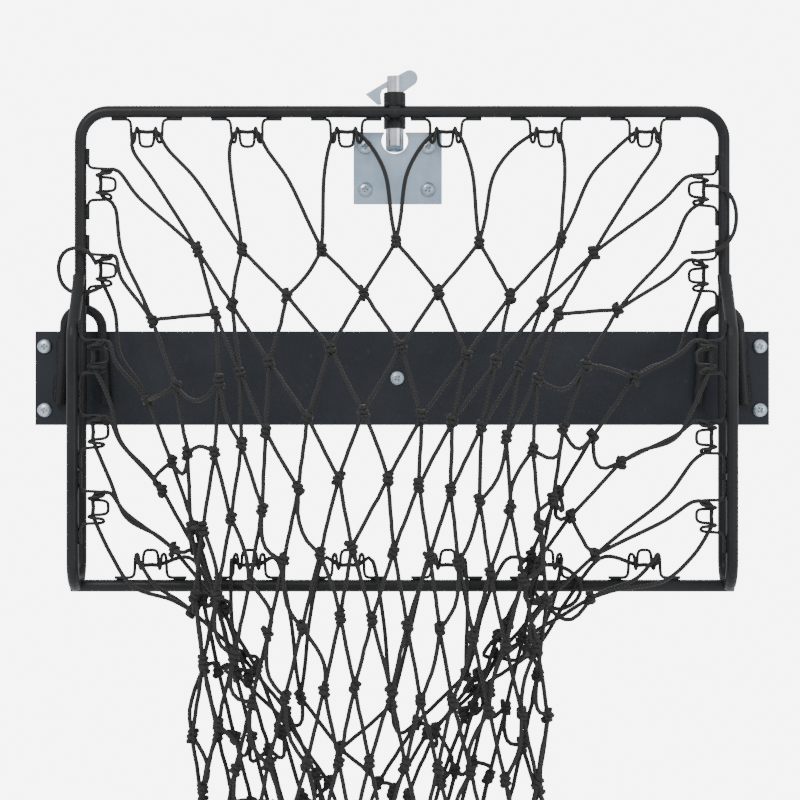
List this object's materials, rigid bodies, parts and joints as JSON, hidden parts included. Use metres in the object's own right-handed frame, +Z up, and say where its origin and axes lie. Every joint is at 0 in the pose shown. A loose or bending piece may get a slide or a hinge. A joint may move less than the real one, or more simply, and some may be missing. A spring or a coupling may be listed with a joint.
{
  "type": "wall-mounted folding net hoop",
  "caption": "Wall-mounted rod hoop holding an open-topped knotted net bag; it stows upright under a gravity bolt and folds out to level.",
  "frame": {"origin": "centre of the wall plate's back face, which is also the middle of its four screws", "axes": "+Z up, +X to the right seen from the front, +Y into the wall; the hoop stands in front of the wall, towards -Y"},
  "size_m": [0.586, 0.1875, 0.8048],
  "materials": {
    "black_coat": "black powder coat, light orange peel",
    "plate_coat": "black powder coat on flat bar",
    "clip_wire": "powder-coated wire with weld ends",
    "zinc_plate": "bright blue-white zinc plating",
    "zinc_bolt": "bright zinc plating, turned",
    "zinc_screw": "bright zinc plating",
    "net_cord": "black braided cord, knotted"
  },
  "bodies": {
    "wall_mount": {"wall_plate": "plate_coat", "keeper_left": "black_coat", "keeper_right": "black_coat", "keeper_weld_left": "black_coat", "keeper_weld_right": "black_coat", "wall_screws": "zinc_screw", "latch_plate": "zinc_plate", "latch_screws": "zinc_screw"},
    "hinge_bar": {"bottom_bar": "black_coat"},
    "hoop": {"hoop_rod": "black_coat", "guide_bow_left": "black_coat", "guide_bow_right": "black_coat", "latch_collar": "black_coat", "clip_top_1": "clip_wire", "clip_top_2": "clip_wire", "clip_top_3": "clip_wire", "clip_top_4": "clip_wire", "clip_top_5": "clip_wire", "clip_top_6": "clip_wire", "clip_bottom_1": "clip_wire", "clip_bottom_2": "clip_wire", "clip_bottom_3": "clip_wire", "clip_bottom_4": "clip_wire", "clip_bottom_5": "clip_wire", "clip_bottom_6": "clip_wire", "clip_left_1": "clip_wire", "clip_left_2": "clip_wire", "clip_left_3": "clip_wire", "clip_left_4": "clip_wire", "clip_left_5": "clip_wire", "clip_right_1": "clip_wire", "clip_right_2": "clip_wire", "clip_right_3": "clip_wire", "clip_right_4": "clip_wire", "clip_right_5": "clip_wire"},
    "bag": {"net": "net_cord"},
    "bolt": {"latch_bolt": "zinc_bolt", "lever_pin": "zinc_bolt"},
    "lever": {"latch_lever": "zinc_plate"}
  },
  "joints": [
    {"name": "hoop_lift", "type": "slide", "parent": "wall_mount", "child": "hinge_bar", "axis": [0, 0, 1], "range_m": [0, 0.2]},
    {"name": "hoop_swing", "type": "hinge", "parent": "hinge_bar", "child": "hoop", "pos_m": [0, -0.0445, -0.162], "axis": [1, 0, 0], "range_deg": [0, 90]},
    {"name": "bag_hang", "type": "hinge", "parent": "hoop", "child": "bag", "pos_m": [0, -0.0445, 0.024], "axis": [1, 0, 0], "range_deg": [-90, 0]},
    {"name": "bolt_slide", "type": "slide", "parent": "hoop", "child": "bolt", "axis": [0, 0, 1], "range_m": [0, 0.0115]},
    {"name": "lever_turn", "type": "hinge", "parent": "bolt", "child": "lever", "pos_m": [-0.006, -0.01035, 0.2342], "axis": [0, 1, 0], "range_deg": [0, 90]}
  ],
  "couplings": [
    {"joint": "hoop_lift", "follows": "hoop_swing", "m_per_rad": 0.12732},
    {"joint": "bag_hang", "follows": "hoop_swing", "ratio": -1},
    {"joint": "bolt_slide", "follows": "lever_turn", "m_per_rad": 0.0072574}
  ]
}
